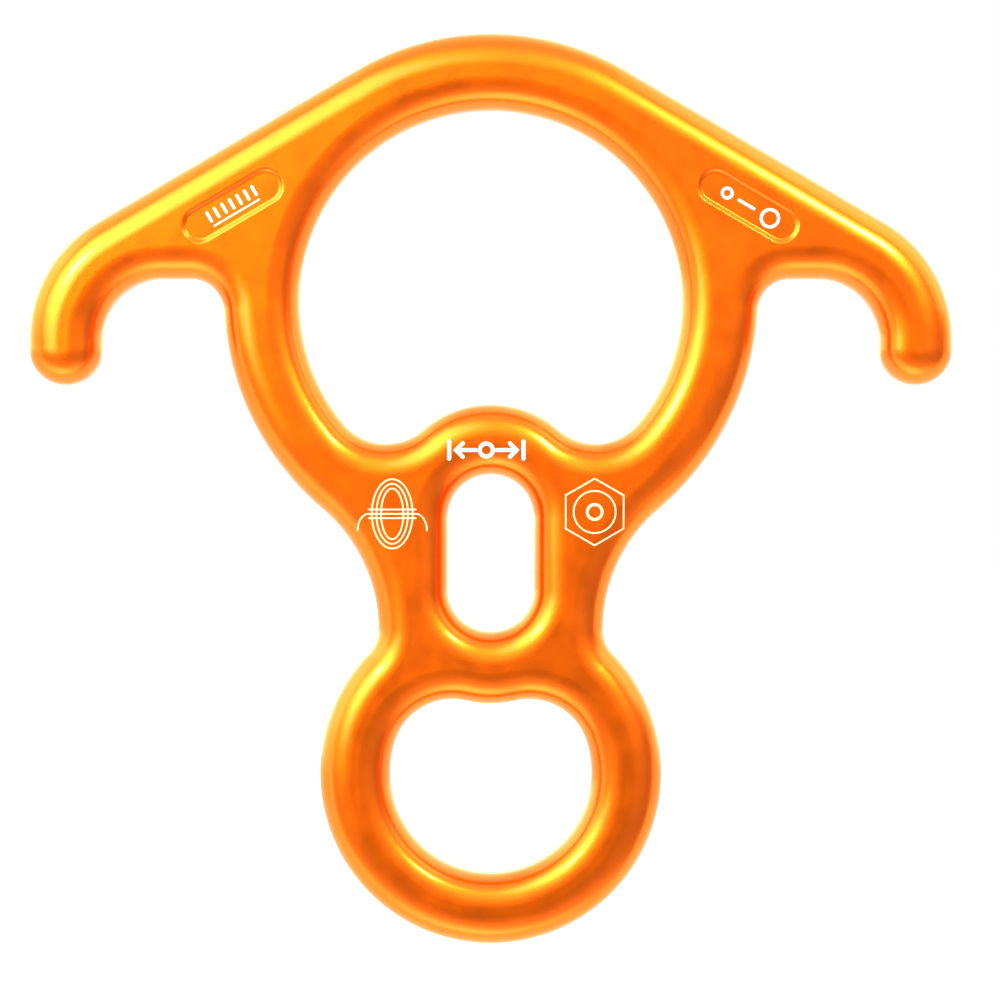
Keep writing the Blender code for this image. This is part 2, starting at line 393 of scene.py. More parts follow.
@dataclass(frozen=True)
class ForgedBody:
    """The whole descender: two rings, two hooked ears, a slotted web and rounded edges, in one forging.

    Attributes:
        overall_width: Width across the ears.
        thickness: Distance from the front land to the back land.
        ring_height: Height of the rope ring's centre above the small eye's centre.
        rope_radius: Radius of the big opening.
        arch_wall: Width of the metal over the big opening.
        side_wall: Width of the metal beside the big opening.
        side_radius: Radius of the ring's outer side under the ear.
        side_rise: Height of that arc's centre above the ring's centre.
        lobe_radius: Radius of the two lower lobes of the big opening.
        lobe_drop: Depth of the lobes' centres below the ring's centre.
        hump_radius: Radius of the hump between the lobes.
        ear_height: Height of the ears' shoulder and hook centres.
        shoulder_radius: Radius of the outer shoulder.
        hook_radius: Radius of the hook's inner bend.
        horn_width: Width of the hook's tip.
        horn_drop: Depth of the tip below ear_height.
        corner_radius: Radius of the inner corner between the ear and the ring.
        slot_width: Width of the rope slot.
        slot_length: Length of the rope slot.
        bridge_wall: Metal between the hump's crest and the slot.
        neck_wall: Metal beside the slot at the narrowest point.
        neck_radius: Radius of the neck's lower bend.
        eye_radius: Radius of the small eye.
        eye_wall: Width of the ring round the small eye.
        eye_lobe_radius: Radius of the two upper corners of the eye.
        eye_lobe_rise: Height of those corners' centres.
        eye_dip_radius: Radius of the dip between those corners.
        edge_arcs: Radius of each arc of the rounded edge and the tilt at its end, from the land to the wall.
        step: Spacing of the points along an outline.
        land_pitch: Spacing of the lattice on the flat lands.
    """

    overall_width: float = 0.150
    thickness: float = 0.013
    ring_height: float = 0.0767
    rope_radius: float = 0.0311
    arch_wall: float = 0.0124
    side_wall: float = 0.0124
    side_radius: float = 0.046
    side_rise: float = 0.0013
    lobe_radius: float = 0.009
    lobe_drop: float = 0.0141
    hump_radius: float = 0.0169
    ear_height: float = 0.0705
    shoulder_radius: float = 0.022
    hook_radius: float = 0.0099
    horn_width: float = 0.0118
    horn_drop: float = 0.0073
    corner_radius: float = 0.0053
    slot_width: float = 0.0141
    slot_length: float = 0.0257
    bridge_wall: float = 0.0113
    neck_wall: float = 0.01125
    neck_radius: float = 0.006
    eye_radius: float = 0.0164
    eye_wall: float = 0.0114
    eye_lobe_radius: float = 0.0098
    eye_lobe_rise: float = 0.0022
    eye_dip_radius: float = 0.018
    edge_arcs: tuple[tuple[float, float], ...] = (
        (0.0080, math.radians(18.0)), (0.0032, math.radians(55.0)), (0.0068, math.radians(90.0)))
    step: float = 0.0005
    land_pitch: float = 0.0016

    def flank(self) -> tuple[np.ndarray, np.ndarray, np.ndarray]:
        """Return the top and the foot of the straight right flank, and its outward normal.

        The flank is the line that touches the arch and the shoulder, so its normal makes the angle
        acos((arch radius - shoulder radius) / distance of the centres) with the line of their centres.
        """
        arch = self.rope_radius + self.arch_wall
        arch_centre = point(0.0, self.ring_height)
        shoulder_centre = point(self.overall_width / 2 - self.shoulder_radius, self.ear_height)
        across = shoulder_centre - arch_centre
        spread = math.acos((arch - self.shoulder_radius) / np.linalg.norm(across))
        angle = math.atan2(across[1], across[0]) + spread
        normal = point(math.cos(angle), math.sin(angle))
        return arch_centre + normal * arch, shoulder_centre + normal * self.shoulder_radius, normal

    def ear(self) -> list[Arc]:
        """Return the arcs of the right ear: shoulder, tip, hook and the corner beside the ring."""
        half = self.overall_width / 2
        _, flank_foot, _ = self.flank()
        shoulder_centre = point(half - self.shoulder_radius, self.ear_height)
        tip_radius = self.horn_width / 2
        tip_centre = point(half - tip_radius, self.ear_height - self.horn_drop + tip_radius)
        aside = point(tip_radius, 0.0)
        hook_centre = point(half - self.horn_width - self.hook_radius, self.ear_height)
        hook_start = hook_centre + point(self.hook_radius, 0.0)
        hook_top = hook_centre + point(0.0, self.hook_radius)
        side_centre = self.side_centre()
        height = self.ear_height + self.hook_radius - self.corner_radius
        reach = self.side_radius + self.corner_radius
        run = math.sqrt(reach ** 2 - (height - side_centre[1]) ** 2)
        corner_centre = point(side_centre[0] + run, height)
        corner_top = corner_centre + point(0.0, self.corner_radius)
        corner_foot = towards(corner_centre, side_centre, self.corner_radius)
        clockwise, counterclockwise = Turn.CLOCKWISE, Turn.COUNTERCLOCKWISE
        return [
            Arc(shoulder_centre, self.shoulder_radius, flank_foot, point(half, self.ear_height), clockwise,
                Bulge.CONVEX),
            Arc(tip_centre, tip_radius, tip_centre + aside, tip_centre - aside, clockwise, Bulge.CONVEX),
            Arc(hook_centre, self.hook_radius, hook_start, hook_top, counterclockwise, Bulge.CONCAVE),
            Arc(corner_centre, self.corner_radius, corner_top, corner_foot, counterclockwise, Bulge.CONCAVE),
        ]

    def side_centre(self) -> np.ndarray:
        """Return the centre of the ring's outer side under the right ear."""
        reach = self.rope_radius + self.side_wall - self.side_radius
        return point(reach, self.ring_height + self.side_rise)

    def silhouette(self) -> Outline:
        """Return the outer edge, mirrored from the arcs of its right half.

        The two neck arcs share the height of the narrowest point. The lower one touches the ring of the eye,
        which settles that height, and the upper one touches the side, which settles its radius.
        """
        arch = self.rope_radius + self.arch_wall
        arch_centre = point(0.0, self.ring_height)
        flank_top, _, _ = self.flank()
        ear = self.ear()
        side_centre = self.side_centre()
        corner_foot = ear[-1].last
        neck = self.slot_width / 2 + self.neck_wall
        ring = self.eye_radius + self.eye_wall
        height = math.sqrt((ring + self.neck_radius) ** 2 - (neck + self.neck_radius) ** 2)
        rise = height - side_centre[1]
        run = neck - side_centre[0]
        upper = (run ** 2 + rise ** 2 - self.side_radius ** 2) / (2 * (self.side_radius - run))
        neck_point = point(neck, height)
        upper_centre = point(neck + upper, height)
        lower_centre = point(neck + self.neck_radius, height)
        side_foot = towards(side_centre, upper_centre, self.side_radius)
        centre = point(0.0, 0.0)
        ring_start = towards(centre, lower_centre, ring)
        clockwise, counterclockwise = Turn.CLOCKWISE, Turn.COUNTERCLOCKWISE
        arcs = [
            Arc(arch_centre, arch, arch_centre + point(0.0, arch), flank_top, clockwise, Bulge.CONVEX),
            *ear,
            Arc(side_centre, self.side_radius, corner_foot, side_foot, clockwise, Bulge.CONVEX),
            Arc(upper_centre, upper, side_foot, neck_point, counterclockwise, Bulge.CONCAVE),
            Arc(lower_centre, self.neck_radius, neck_point, ring_start, counterclockwise, Bulge.CONCAVE),
            Arc(centre, ring, ring_start, point(0.0, -ring), clockwise, Bulge.CONVEX),
        ]
        return Outline.mirrored(arcs, self.step)

    def hump(self) -> tuple[np.ndarray, np.ndarray]:
        """Return the centres of the right lobe of the rope opening and of the hump between the lobes."""
        across = math.sqrt((self.rope_radius - self.lobe_radius) ** 2 - self.lobe_drop ** 2)
        lobe = point(across, self.ring_height - self.lobe_drop)
        reach = self.lobe_radius + self.hump_radius
        return lobe, point(0.0, lobe[1] - math.sqrt(reach ** 2 - across ** 2))

    def rope_opening(self) -> Outline:
        """Return the big opening: a circle whose foot is pushed up by a hump between two lobes."""
        centre = point(0.0, self.ring_height)
        lobe, hump = self.hump()
        start = towards(centre, lobe, self.rope_radius)
        end = towards(lobe, hump, self.lobe_radius)
        crest = hump + point(0.0, self.hump_radius)
        arcs = [
            Arc(centre, self.rope_radius, centre + point(0.0, self.rope_radius), start, Turn.CLOCKWISE,
                Bulge.CONCAVE),
            Arc(lobe, self.lobe_radius, start, end, Turn.CLOCKWISE, Bulge.CONCAVE),
            Arc(hump, self.hump_radius, end, crest, Turn.COUNTERCLOCKWISE, Bulge.CONVEX),
        ]
        return Outline.mirrored(arcs, self.step)

    def rope_slot(self) -> Outline:
        """Return the slot in the web, straight with round ends."""
        radius = self.slot_width / 2
        _, hump = self.hump()
        top = point(0.0, hump[1] + self.hump_radius - self.bridge_wall)
        foot = top - point(0.0, self.slot_length)
        upper = top - point(0.0, radius)
        lower = foot + point(0.0, radius)
        aside = point(radius, 0.0)
        arcs = [
            Arc(upper, radius, top, upper + aside, Turn.CLOCKWISE, Bulge.CONCAVE),
            Arc(lower, radius, lower + aside, foot, Turn.CLOCKWISE, Bulge.CONCAVE),
        ]
        return Outline.mirrored(arcs, self.step)

    def small_eye(self) -> Outline:
        """Return the karabiner eye: a circle whose top is pushed down by a dip between two corners."""
        centre = point(0.0, 0.0)
        across = math.sqrt((self.eye_radius - self.eye_lobe_radius) ** 2 - self.eye_lobe_rise ** 2)
        lobe = point(across, self.eye_lobe_rise)
        reach = self.eye_lobe_radius + self.eye_dip_radius
        dip = point(0.0, self.eye_lobe_rise + math.sqrt(reach ** 2 - across ** 2))
        start = towards(lobe, dip, self.eye_lobe_radius)
        end = towards(centre, lobe, self.eye_radius)
        arcs = [
            Arc(dip, self.eye_dip_radius, dip - point(0.0, self.eye_dip_radius), start,
                Turn.COUNTERCLOCKWISE, Bulge.CONVEX),
            Arc(lobe, self.eye_lobe_radius, start, end, Turn.CLOCKWISE, Bulge.CONCAVE),
            Arc(centre, self.eye_radius, end, point(0.0, -self.eye_radius), Turn.CLOCKWISE, Bulge.CONCAVE),
        ]
        return Outline.mirrored(arcs, self.step)

    def edge_section(self) -> Section:
        """Return the section of every edge, from the front land over the trimmed wall to the back land.

        The rounding runs from the land to the wall, which is square to the plate and crosses the middle.
        """
        tilt = np.linspace(0.0, math.pi / 2, EDGE_ROWS)
        run, down = self.rounding(tilt)
        inset = run[-1] - run
        wall = smooth(tilt / (math.pi / 2))
        depth = down - self.thickness / 2
        front = np.full(len(tilt), -1.0)
        return Section(
            np.concatenate([inset, inset[::-1]]),
            np.concatenate([depth, -depth[::-1]]),
            np.concatenate([tilt, tilt[::-1]]),
            np.concatenate([front, -front]),
            np.concatenate([wall, wall[::-1]]),
        )

    def outlines(self) -> list[Outline]:
        """Return the outer edge and the edges of the three openings."""
        return [self.silhouette(), self.rope_opening(), self.rope_slot(), self.small_eye()]

    def rounding(self, tilt: np.ndarray) -> tuple[np.ndarray, np.ndarray]:
        """Return how far the rounding has run outwards and dropped from the land's rim where it has a tilt.

        It is a chain of tangent arcs. An arc of radius r between tilts s and t runs r (sin t - sin s) and
        drops r (cos s - cos t).

        Args:
            tilt: Angles in radians between the surface normal and the plane normal.

        Returns:
            The runs and the drops.
        """
        run = np.zeros(len(tilt))
        drop = np.zeros(len(tilt))
        start = 0.0
        for radius, end in self.edge_arcs:
            turned = np.clip(tilt, start, end)
            run += radius * (np.sin(turned) - math.sin(start))
            drop += radius * (math.cos(start) - np.cos(turned))
            start = end
        return run, drop

    def drop(self, places: np.ndarray) -> np.ndarray:
        """Return how far the surface at places lies behind the land.

        Where the nearest edge is closer than the rounding's reach, the run there is reach - distance. The
        drop is read off the rounding at that run.

        Args:
            places: Points of the plate's plane, shape (count, 2).

        Returns:
            One drop for each place, 0 on the land.
        """
        distance = side_distance(places, [outline.points for outline in self.outlines()])
        runs, drops = self.rounding(np.linspace(0.0, math.pi / 2, ROUNDING_SAMPLES))
        return np.interp(runs[-1] - distance, runs, drops)

    def build(self, plaques: list["Plaque"]) -> bpy.types.Object:
        """Return the body: four swept edges, and two lands with the plaques' pockets sunk into them.

        Args:
            plaques: The marking plaques, which are cut on both faces.

        Returns:
            The body as one closed surface.
        """
        shell = Shell()
        section = self.edge_section()
        fronts = []
        backs = []
        for outline in self.outlines():
            index = shell.add_sweep(outline, section, flip=not outline.runs_outward_left())
            fronts.append(index[:, 0])
            backs.append(index[:, -1])
        for face, borders in ((Face.FRONT, fronts), (Face.BACK, backs)):
            borders += [plaque.sink(shell, self, face) for plaque in plaques]
            shell.add_land(borders, face.value * self.thickness / 2, face, self.land_pitch)
        piece = shell.to_object("forged_body_surface")
        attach(piece, ROOT_BODY)
        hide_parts(BODY_NODE)
        return piece


@dataclass(frozen=True)
class Plaque:
    """A shallow pocket with round ends beside a flank, in which the marks stand.

    Attributes:
        side: Which flank it lies under.
        length: Length of its mouth.
        width: Width of its mouth.
        depth: Depth of its floor.
        wall: Width of its sloping wall, seen from the front.
        inset: Distance of its centre line from the flank's edge.
        shift: Distance of its centre from the flank's middle, towards the ear.
        step: Spacing of the points round the mouth.
    """

    side: Side
    length: float = 0.0184
    width: float = 0.0061
    depth: float = 0.0003
    wall: float = 0.0009
    inset: float = 0.0092
    shift: float = 0.0037
    step: float = 0.0003

    def frame(self, body: ForgedBody) -> tuple[np.ndarray, np.ndarray]:
        """Return the centre of the plaque and the unit vector along it, which points down the flank."""
        top, foot, normal = body.flank()
        along = (foot - top) / np.linalg.norm(foot - top)
        centre = (top + foot) / 2 + along * self.shift - normal * self.inset
        flip = np.array([float(self.side.value), 1.0])
        return centre * flip, along * flip

    def mouth(self, body: ForgedBody) -> Outline:
        """Return the mouth's loop, whose normals point into the pocket, out of the metal."""
        centre, along = self.frame(body)
        radius = self.width / 2
        aside = point(-along[1], along[0])
        far = centre + along * (self.length / 2 - radius)
        near = centre - along * (self.length / 2 - radius)
        arcs = [
            Arc(far, radius, far - aside * radius, far + aside * radius,
                Turn.COUNTERCLOCKWISE, Bulge.CONCAVE),
            Arc(near, radius, near + aside * radius, near - aside * radius,
                Turn.COUNTERCLOCKWISE, Bulge.CONCAVE),
        ]
        return Outline.through(arcs, self.step)

    def sink(self, shell: Shell, body: ForgedBody, face: Face) -> np.ndarray:
        """Add the pocket to a shell and return the indices of its mouth.

        The wall falls by depth * (3 s^2 - 2 s^3) over its width, so its lip and its foot are both rounded.

        Args:
            shell: The surface that gets the pocket.
            body: The body that it lies in.
            face: Which face of the plate it is cut into.

        Returns:
            Indices of the vertices round the mouth.
        """
        mouth = self.mouth(body)
        share = np.linspace(0.0, 1.0, PLAQUE_ROWS)
        land = body.thickness / 2
        slope = self.depth * 6.0 * share * (1.0 - share) / self.wall
        section = Section(
            -share * self.wall,
            face.value * (land - self.depth * smooth(share)),
            np.arctan(slope),
            np.full(len(share), float(face.value)),
            np.zeros(len(share)),
        )
        flip = mouth.runs_outward_left() == (face is Face.BACK)
        index = shell.add_sweep(mouth, section, flip=flip)
        floor = face.value * (land - self.depth)
        shell.add_land([index[:, -1]], floor, face, self.wall)
        return index[:, 0]


class Value:
    """A node socket that takes part in Python expressions."""

    def __init__(self, bench: "ShaderBench", socket: bpy.types.NodeSocket) -> None:
        """Wrap an output socket of a node on a bench."""
        self.bench = bench
        self.socket = socket

    def _combine(self, operation: str, first: object, second: object) -> "Value":
        """Return the result of a two-input Math node."""
        return self.bench.node("ShaderNodeMath", {"operation": operation}, {0: first, 1: second})

    def __add__(self, other: object) -> "Value":
        """Return self + other."""
        return self._combine("ADD", self, other)

    def __radd__(self, other: object) -> "Value":
        """Return other + self."""
        return self._combine("ADD", other, self)

    def __sub__(self, other: object) -> "Value":
        """Return self - other."""
        return self._combine("SUBTRACT", self, other)

    def __rsub__(self, other: object) -> "Value":
        """Return other - self."""
        return self._combine("SUBTRACT", other, self)

    def __mul__(self, other: object) -> "Value":
        """Return self * other."""
        return self._combine("MULTIPLY", self, other)

    def __rmul__(self, other: object) -> "Value":
        """Return other * self."""
        return self._combine("MULTIPLY", other, self)

    def ramp(self, low: float, high: float) -> "Value":
        """Return a smooth step from 0 at low to 1 at high."""
        settings = {"interpolation_type": "SMOOTHSTEP"}
        inputs = {"Value": self, "From Min": low, "From Max": high}
        return self.bench.node("ShaderNodeMapRange", settings, inputs)


class ShaderBench:
    """A node tree that is being filled: makes nodes, sets them and links them."""

    def __init__(self, tree: bpy.types.NodeTree) -> None:
        """Empty the tree and keep it."""
        tree.nodes.clear()
        self.tree = tree

    def node(self, kind: str, settings: dict | None = None, inputs: dict | None = None,
             output: str | int = 0) -> Value:
        """Add a node and return one of its outputs.

        Args:
            kind: Type name of the node.
            settings: Attributes that are set before the inputs.
            inputs: Values or links by socket name or number.
            output: Name or number of the output that is returned.

        Returns:
            The output, wrapped for use in expressions.
        """
        made = self.tree.nodes.new(kind)
        for name, value in (settings or {}).items():
            setattr(made, name, value)
        for name, value in (inputs or {}).items():
            if isinstance(value, Value):
                self.tree.links.new(value.socket, made.inputs[name])
            else:
                made.inputs[name].default_value = value
        return Value(self, made.outputs[output]) if made.outputs else Value(self, None)

    def mix_colour(self, factor: object, first: object, second: object) -> Value:
        """Return a colour that goes from first to second with a factor from 0 to 1."""
        settings = {"data_type": "RGBA"}
        return self.node("ShaderNodeMix", settings, {0: factor, 6: first, 7: second}, output=2)

    def noise(self, place: Value, feature: float, detail: float = 2.0) -> Value:
        """Return noise from about 0 to 1 whose blobs measure about a feature size in metres."""
        inputs = {"Vector": place, "Scale": 1.0 / feature, "Detail": detail}
        return self.node("ShaderNodeTexNoise", {}, inputs, output="Fac")


@dataclass(frozen=True)
class Anodising:
    """Orange anodising over bead-blasted aluminium, under a clear sealed oxide.

    Attributes:
        colour: Colour of the metal seen through the dyed layer.
        deep: Colour where the layer is a little thicker.
        pale: Colour on the trimmed wall, where the layer is thinner and where it also paints a pale
            reflection of the grazing edge.
        roughness: Middle of the roughness.
        roughness_spread: How far the roughness wanders.
        edge_tint: Colour of the reflection at a grazing angle.
        coat: Weight of the sealed surface.
        wall_coat: Weight that it gains towards the trimmed wall.
        coat_roughness: Roughness of the sealed surface.
        coat_ior: Refractive index of the oxide.
        grain: Size of the blasted dimples.
        grain_height: Height of the dimples.
        wave: Size of the tumbling waves.
        wave_height: Height of the waves.
        mottle: Size of the uneven patches of dye.
        mottle_share: How far a patch goes towards the deep colour.
        thinning_and_sheen: How far the wall goes towards the pale colour, for the thinner layer and as a
            painted pale reflection.
        haze: Size of the patches of roughness.
    """

    colour: tuple[float, float, float, float] = (0.98, 0.147, 0.0002, 1.0)
    deep: tuple[float, float, float, float] = (0.96, 0.130, 0.0001, 1.0)
    pale: tuple[float, float, float, float] = (0.98, 0.150, 0.0008, 1.0)
    roughness: float = 0.34
    roughness_spread: float = 0.08
    edge_tint: tuple[float, float, float, float] = (1.0, 0.85, 0.50, 1.0)
    coat: float = 0.21
    wall_coat: float = 0.08
    coat_roughness: float = 0.17
    coat_ior: float = 1.67
    grain: float = 0.00035
    grain_height: float = 0.000012
    wave: float = 0.0035
    wave_height: float = 0.00002
    mottle: float = 0.004
    mottle_share: float = 0.5
    thinning_and_sheen: float = 0.6
    haze: float = 0.006

    def dress(self, piece: bpy.types.Object) -> None:
        """Give the finish to a piece.

        The dye is mottled by soft noise and turns paler towards the trimmed wall. The layer is thinner there,
        and the paler colour also paints a pale reflection of the grazing edge. There the sealed surface shows
        more. The roughness wanders, and the surface carries fine dimples on long shallow waves.

        Args:
            piece: The object that is dressed.
        """
        material = bpy.data.materials.new(BODY_SLOT)
        material.use_nodes = True
        bench = ShaderBench(material.node_tree)
        place = bench.node("ShaderNodeTexCoord", output="Object")
        wall = bench.node("ShaderNodeAttribute", {"attribute_name": "wall"}, output="Fac")
        patches = bench.noise(place, self.mottle, 3.0).ramp(0.3, 0.7)
        dyed = bench.mix_colour(patches * self.mottle_share, self.colour, self.deep)
        # Painted pale reflection: the colour turns paler towards the trimmed wall, partly for the thinner dye
        # there and partly to paint the pale sheen of the grazing edge.
        colour = bench.mix_colour(wall * self.thinning_and_sheen, dyed, self.pale)
        haze = bench.noise(place, self.haze, 4.0) - 0.5
        roughness = haze * (2.0 * self.roughness_spread) + self.roughness
        dimples = bench.noise(place, self.grain, 2.0) * self.grain_height
        waves = bench.noise(place, self.wave, 1.0) * self.wave_height
        relief = bench.node("ShaderNodeBump", {}, {
            "Strength": 1.0,
            "Distance": 1.0,
            "Height": dimples + waves,
        })
        shader = bench.node("ShaderNodeBsdfPrincipled", {}, {
            "Base Color": colour,
            "Metallic": 1.0,
            "Roughness": roughness,
            "Coat Weight": wall.ramp(0.5, 1.0) * self.wall_coat + self.coat,
            "Coat Roughness": self.coat_roughness,
            "Coat IOR": self.coat_ior,
            "Specular Tint": self.edge_tint,
            "Normal": relief,
        })
        bench.node("ShaderNodeOutputMaterial", {}, {"Surface": shader})
        piece.data.materials.append(material)


@dataclass(frozen=True)
class LaserSkin:
    """Whitened skin that a laser leaves on anodised metal.

    Attributes:
        name: Name of the material.
        colour: Colour of the skin.
        thin: Colour where more of the dye shows through.
        roughness: Its roughness.
        speckle: Size of its unevenness.
    """

    name: str
    colour: tuple[float, float, float, float]
    thin: tuple[float, float, float, float]
    roughness: float = 0.6
    speckle: float = 0.0004

    def material(self) -> bpy.types.Material:
        """Return the skin's material, which is made when it is first asked for."""
        known = bpy.data.materials.get(self.name)
        if known:
            return known
        material = bpy.data.materials.new(self.name)
        material.use_nodes = True
        bench = ShaderBench(material.node_tree)
        place = bench.node("ShaderNodeTexCoord", output="Object")
        patch = bench.noise(place, self.speckle, 2.0).ramp(0.45, 0.75)
        colour = bench.mix_colour(patch, self.colour, self.thin)
        shader = bench.node("ShaderNodeBsdfPrincipled", {}, {
            "Base Color": colour,
            "Roughness": self.roughness,
        })
        bench.node("ShaderNodeOutputMaterial", {}, {"Surface": shader})
        return material


@dataclass(frozen=True)
class Stroke:
    """One line of a laser mark.

    Attributes:
        path: Points along the middle of the line, shape (count, 2).
        width: Width of the line.
        closed: Whether the last point joins the first.
    """

    path: np.ndarray
    width: float
    closed: bool = False

    @classmethod
    def ring(cls, centre: np.ndarray, radius: float, width: float) -> "Stroke":
        """Return a circle, centre + radius (cos a, sin a)."""
        angle = np.linspace(0.0, math.tau, RING_POINTS, endpoint=False)
        return cls(centre + radius * np.stack([np.cos(angle), np.sin(angle)], axis=-1), width, True)

    @classmethod
    def hexagon(cls, centre: np.ndarray, radius: float, width: float) -> "Stroke":
        """Return a hexagon on its corner, with points along its sides to follow the rounded edges."""
        angle = np.arange(7) * math.tau / 6 + math.tau / 12
        corners = centre + radius * np.stack([np.cos(angle), np.sin(angle)], axis=-1)
        share = np.linspace(0.0, 1.0, HEXAGON_POINTS, endpoint=False)[None, :, None]
        path = corners[:-1, None] * (1.0 - share) + corners[1:, None] * share
        return cls(path.reshape(-1, 2), width, True)

    @classmethod
    def line(cls, corners: list[tuple[float, float]], width: float) -> "Stroke":
        """Return a line through corners, with points close enough to follow the rounded edges."""
        given = np.array(corners)
        lengths = np.linalg.norm(np.diff(given, axis=0), axis=1)
        reach = np.concatenate([[0.0], np.cumsum(lengths)])
        between = np.arange(0.0, reach[-1], STROKE_PITCH)
        along = np.unique(np.round(np.concatenate([reach, between]), 7))
        keep = np.concatenate([[True], np.diff(along) > 1e-5])
        along = along[keep]
        path = np.stack([np.interp(along, reach, given[:, axis]) for axis in (0, 1)], axis=-1)
        return cls(path, width)

    def moved(self, centre: np.ndarray, along: np.ndarray) -> "Stroke":
        """Return the stroke turned so that +X lies along a unit vector, then moved to a centre."""
        aside = point(-along[1], along[0])
        return Stroke(centre + self.path[:, :1] * along + self.path[:, 1:] * aside, self.width, self.closed)

    def spine(self) -> tuple[np.ndarray, np.ndarray, np.ndarray]:
        """Return points, mitre vectors and half widths of the stroke's rows.

        At each point the mitre vector is (n + m) / (1 + n . m) for the normals n and m of the two sides that
        meet there. An open stroke gets round ends: rows at -h cos a with half width h sin a.
        """
        path = self.path
        half = self.width / 2
        if self.closed:
            before = path - np.roll(path, 1, axis=0)
            after = np.roll(path, -1, axis=0) - path
        else:
            steps = np.diff(path, axis=0)
            before = np.concatenate([steps[:1], steps])
            after = np.concatenate([steps, steps[-1:]])
        before = before / np.linalg.norm(before, axis=1, keepdims=True)
        after = after / np.linalg.norm(after, axis=1, keepdims=True)
        first = np.stack([-before[:, 1], before[:, 0]], axis=-1)
        second = np.stack([-after[:, 1], after[:, 0]], axis=-1)
        mitre = (first + second) / (1.0 + np.sum(first * second, axis=1, keepdims=True))
        halves = np.full(len(path), half)
        if self.closed:
            return path, mitre, halves
        turn = np.radians(CAP_ANGLES)
        lead = path[0] - half * np.cos(turn)[:, None] * after[0]
        trail = path[-1] + half * np.cos(turn[::-1])[:, None] * before[-1]
        return (
            np.concatenate([lead, path, trail]),
            np.concatenate([
                np.repeat(mitre[:1], len(turn), axis=0),
                mitre,
                np.repeat(mitre[-1:], len(turn), axis=0),
            ]),
            np.concatenate([half * np.sin(turn), halves, half * np.sin(turn[::-1])]),
        )


@dataclass(frozen=True)
class LaserMark:
    """A pale mark of a few strokes on the front of the plate.

    Attributes:
        name: Name of the piece.
        skin: The whitened metal that it is made of.
        strokes: The lines that it is drawn with.
        floor_drop: How far the floor that it lies on is sunk under the land.
        proud: How far the whitened skin stands over the metal.
        sunk: How far it reaches into the metal.
    """

    name: str
    skin: LaserSkin
    strokes: list[Stroke]
    floor_drop: float = 0.0
    proud: float = 0.00002
    sunk: float = 0.00003

    def build(self, body: ForgedBody) -> bpy.types.Object:
        """Return the mark as closed thin bars that follow the surface under them.

        Each bar is the section (-1, low), (-1, high), (1, high), (1, low) carried along its stroke, scaled
        by the half width across and laid at the surface's own depth.

        Args:
            body: The body that the mark lies on.

        Returns:
            The mark as one piece.
        """
        points = []
        faces = []
        start = 0
        across = np.array([-1.0, -1.0, 1.0, 1.0])
        for order, stroke in enumerate(self.strokes):
            spine, mitre, halves = stroke.spine()
            rows = len(spine)
            flat = spine[:, None] + mitre[:, None] * (halves[:, None] * across)[..., None]
            drop = body.drop(flat.reshape(-1, 2)).reshape(rows, 4) + self.floor_drop
            high = self.proud + STROKE_LIFT * order
            lift = np.array([-self.sunk, high, high, -self.sunk])
            places = np.empty((rows, 4, 3))
            places[..., 0] = flat[..., 0]
            places[..., 1] = drop - body.thickness / 2 - lift
            places[..., 2] = flat[..., 1]
            points.append(places.reshape(-1, 3))
            index = start + np.arange(rows * 4).reshape(rows, 4)
            ahead = np.roll(index, -1, axis=0)
            beside = np.roll(index, -1, axis=1)
            corner = np.roll(ahead, -1, axis=1)
            quads = np.stack([index, ahead, corner, beside], axis=-1)
            if not stroke.closed:
                faces.append(index[:1])
                faces.append(index[-1:, ::-1])
                quads = quads[:-1]
            faces.append(quads.reshape(-1, 4))
            start += rows * 4
        mesh = bpy.data.meshes.new(self.name)
        mesh.from_pydata(np.concatenate(points), [], np.concatenate(faces).tolist())
        mesh.materials.append(self.skin.material())
        piece = bpy.data.objects.new(self.name, mesh)
        bpy.context.scene.collection.objects.link(piece)
        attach(piece, ROOT_BODY)
        return piece


